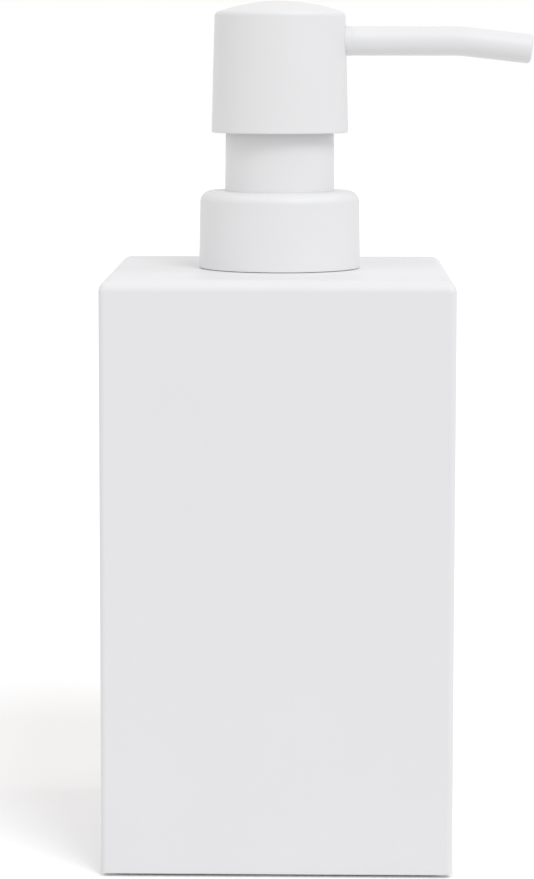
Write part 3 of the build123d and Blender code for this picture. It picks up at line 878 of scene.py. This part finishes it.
class DISPENSER_OT_return_spring(bpy.types.Operator):
    """Wind the return spring, closed up at its ends."""

    bl_idname = "dispenser.return_spring"
    bl_label = "Return spring"

    def execute(self, context):
        s = sizes("pump")
        low, high = SPRING_LOW, SPRING_HIGH
        wire_r, steps = s.wire / 2, s.coil_steps
        start(
            bpy.ops.mesh.primitive_circle_add,
            vertices=s.wire_facets, radius=wire_r, rotation=(pi / 2, 0, 0),
            location=(high.x - wire_r, 0, low.z + wire_r),
        )
        # One turn at each end lies closed, and the rest share what is left.
        closed = s.wire + s.wire_gap
        opened = (high.z - low.z - s.wire - 2 * closed) / (s.wire_turns - 2)
        for step in range(s.wire_turns * steps):
            turn = (step + 0.5) / steps
            from_end = min(turn, s.wire_turns - turn)
            ease = min(1, max(0, (from_end - CLOSED_TO) / (OPEN_FROM - CLOSED_TO)))
            rise = (closed + (opened - closed) * ease) / steps
            bpy.ops.mesh.spin(steps=1, angle=tau / steps, center=(0, 0, 0), axis=(0, 0, 1))
            bpy.ops.transform.translate(value=(0, 0, rise))
        bpy.ops.mesh.select_all(action="SELECT")
        bpy.ops.mesh.fill_holes(sides=0)
        close_seams()
        coil = close_piece()
        seat(coil, "return_coil", "pump_base", "spring_steel", "return_spring")
        stroke = next(j for j in frame["joints"] if j["name"] == "pump_stroke")["range_m"][1]
        1 - stroke / (high.z - low.z)
        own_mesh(coil)
        return {"FINISHED"}


class DISPENSER_OT_working_parts(bpy.types.Operator):
    """Give the frame's own working parts their finishes."""

    bl_idname = "dispenser.working_parts"
    bl_label = "Working parts"

    def execute(self, context):
        for part in frame["record"]["subparts"]:
            node = frame["nodes"][part["node"]]
            for holder in node.material_slots:
                holder.material = finish(part["material_slot"])
        return {"FINISHED"}


# ---- Stage -------------------------------------------------------------------

WHITE = (1, 1, 1, 1)
FULL_FRAME = 36  # width of the camera's sensor, in millimetres
LAMPS = {
    # name: (azimuth from the front to the right, elevation and softness in degrees,
    #        strength, tint)
    "key": (30, 45, 25, 0.943, (0.936, 0.974, 1.0)),
    "side": (90, 45, 25, 0.285, (0.978, 0.986, 1.0)),
    "fill": (-60, 55, 25, 0.303, (1.0, 1.0, 1.0)),
}


class DISPENSER_OT_stage(bpy.types.Operator):
    """Set the white floor, the lamps, the air and the camera."""

    bl_idname = "dispenser.stage"
    bl_label = "Stage"

    def execute(self, context):
        s = sizes("stage")
        self.lay_floor(s)
        self.light_air(s)
        for name, lamp in LAMPS.items():
            self.hang_lamp(name, *lamp)
        self.set_camera(s)
        bpy.context.scene.view_settings.view_transform = "Standard"
        return {"FINISHED"}

    @staticmethod
    def lay_floor(s):
        """Lays a white floor that the camera sees a little lighter than the light leaves it."""
        start(bpy.ops.mesh.primitive_plane_add, size=s.floor_size)
        bpy.ops.transform.translate(value=(0, 0, CAD_BOX[0].z))
        floor = close_piece()
        floor.name = "floor"
        skin = Nodes(bpy.data.materials.new("Floor"))
        tint = (*s.floor, 1)
        dull = {"Base Color": tint, "Roughness": s.floor_roughness, "Specular IOR Level": 0.0}
        lift = {"Base Color": WHITE, "Emission Color": WHITE, "Emission Strength": s.floor_lift}
        lit = skin.add("ShaderNodeBsdfPrincipled", None, dull)
        lifted = skin.add("ShaderNodeBsdfPrincipled", None, {**dull, **lift})
        mixed = skin.add("ShaderNodeMixShader", None, {0: skin.seen(), 1: lit, 2: lifted})
        skin.add("ShaderNodeOutputMaterial", None, {"Surface": mixed})
        floor.data.materials.append(skin.owner)

    @staticmethod
    def light_air(s):
        """Lights from all round, and shows plain white behind the floor."""
        world = bpy.data.worlds.new("air")
        bpy.context.scene.world = world
        air = Nodes(world)
        glow = {"Color": (*s.air, 1), "Strength": s.air_strength}
        light = air.add("ShaderNodeBackground", None, glow)
        white = air.add("ShaderNodeBackground", None, {"Color": WHITE, "Strength": 1.0})
        mixed = air.add("ShaderNodeMixShader", None, {0: air.seen(), 1: light, 2: white})
        air.add("ShaderNodeOutputWorld", None, {"Surface": mixed})

    @staticmethod
    def hang_lamp(name, azimuth, elevation, softness, strength, tint):
        """Adds a sun that shines from this direction, with its edge softened."""
        a, e = radians(azimuth), radians(elevation)
        out = Vector((sin(a) * cos(e), -cos(a) * cos(e), sin(e)))
        bpy.ops.object.light_add(
            type="SUN", location=out, rotation=out.to_track_quat("Z", "Y").to_euler()
        )
        lamp = bpy.context.object
        lamp.name = lamp.data.name = name
        lamp.data.angle = radians(softness)
        lamp.data.energy = strength
        lamp.data.color = tint

    @staticmethod
    def set_camera(s):
        """Places the camera in front, turned and tilted towards the dispenser."""
        turn = (
            Matrix.Rotation(s.camera_turn, 4, "Z")
            @ Matrix.Rotation(pi / 2 - s.camera_tilt, 4, "X")
            @ Matrix.Rotation(s.camera_roll, 4, "Z")
        )
        bpy.ops.object.camera_add(
            location=(s.camera_right, -s.camera_back, s.camera_height), rotation=turn.to_euler()
        )
        camera = bpy.context.object
        camera.data.lens = s.lens
        camera.data.shift_y = -s.camera_drop
        camera.data.sensor_width = FULL_FRAME
        bpy.context.scene.camera = camera


STEPS = (
    DISPENSER_OT_bottle,
    DISPENSER_OT_foot_pad,
    DISPENSER_OT_collar,
    DISPENSER_OT_sleeve,
    DISPENSER_OT_head,
    DISPENSER_OT_spout,
    DISPENSER_OT_return_spring,
    DISPENSER_OT_working_parts,
    DISPENSER_OT_stage,
)


class DISPENSER_PT_panel(bpy.types.Panel):
    """Lists the building steps and their sizes."""

    bl_idname = "DISPENSER_PT_panel"
    bl_label = "Soap Dispenser"
    bl_space_type = "VIEW_3D"
    bl_region_type = "UI"
    bl_category = "Dispenser"

    def draw(self, context):
        for step in STEPS:
            self.layout.operator(step.bl_idname)
        for group, kind in GROUPS.items():
            box = self.layout.box()
            box.label(text=kind.__doc__)
            for name in kind.__annotations__:
                box.prop(sizes(group), name)


def register():
    for kind in (*GROUPS.values(), *STEPS, DISPENSER_PT_panel):
        bpy.utils.register_class(kind)
    for group, kind in GROUPS.items():
        setattr(bpy.types.Scene, "dispenser_" + group, PointerProperty(type=kind))


def unregister():
    for group in GROUPS:
        delattr(bpy.types.Scene, "dispenser_" + group)
    for kind in reversed((*GROUPS.values(), *STEPS, DISPENSER_PT_panel)):
        bpy.utils.unregister_class(kind)


def main():
    register()
    build = bpy.ops.dispenser
    build.bottle()
    build.foot_pad()
    build.collar()
    build.sleeve()
    build.head()
    build.spout()
    build.return_spring()
    build.working_parts()
    build.stage()


if __name__ == "__main__":
    main()
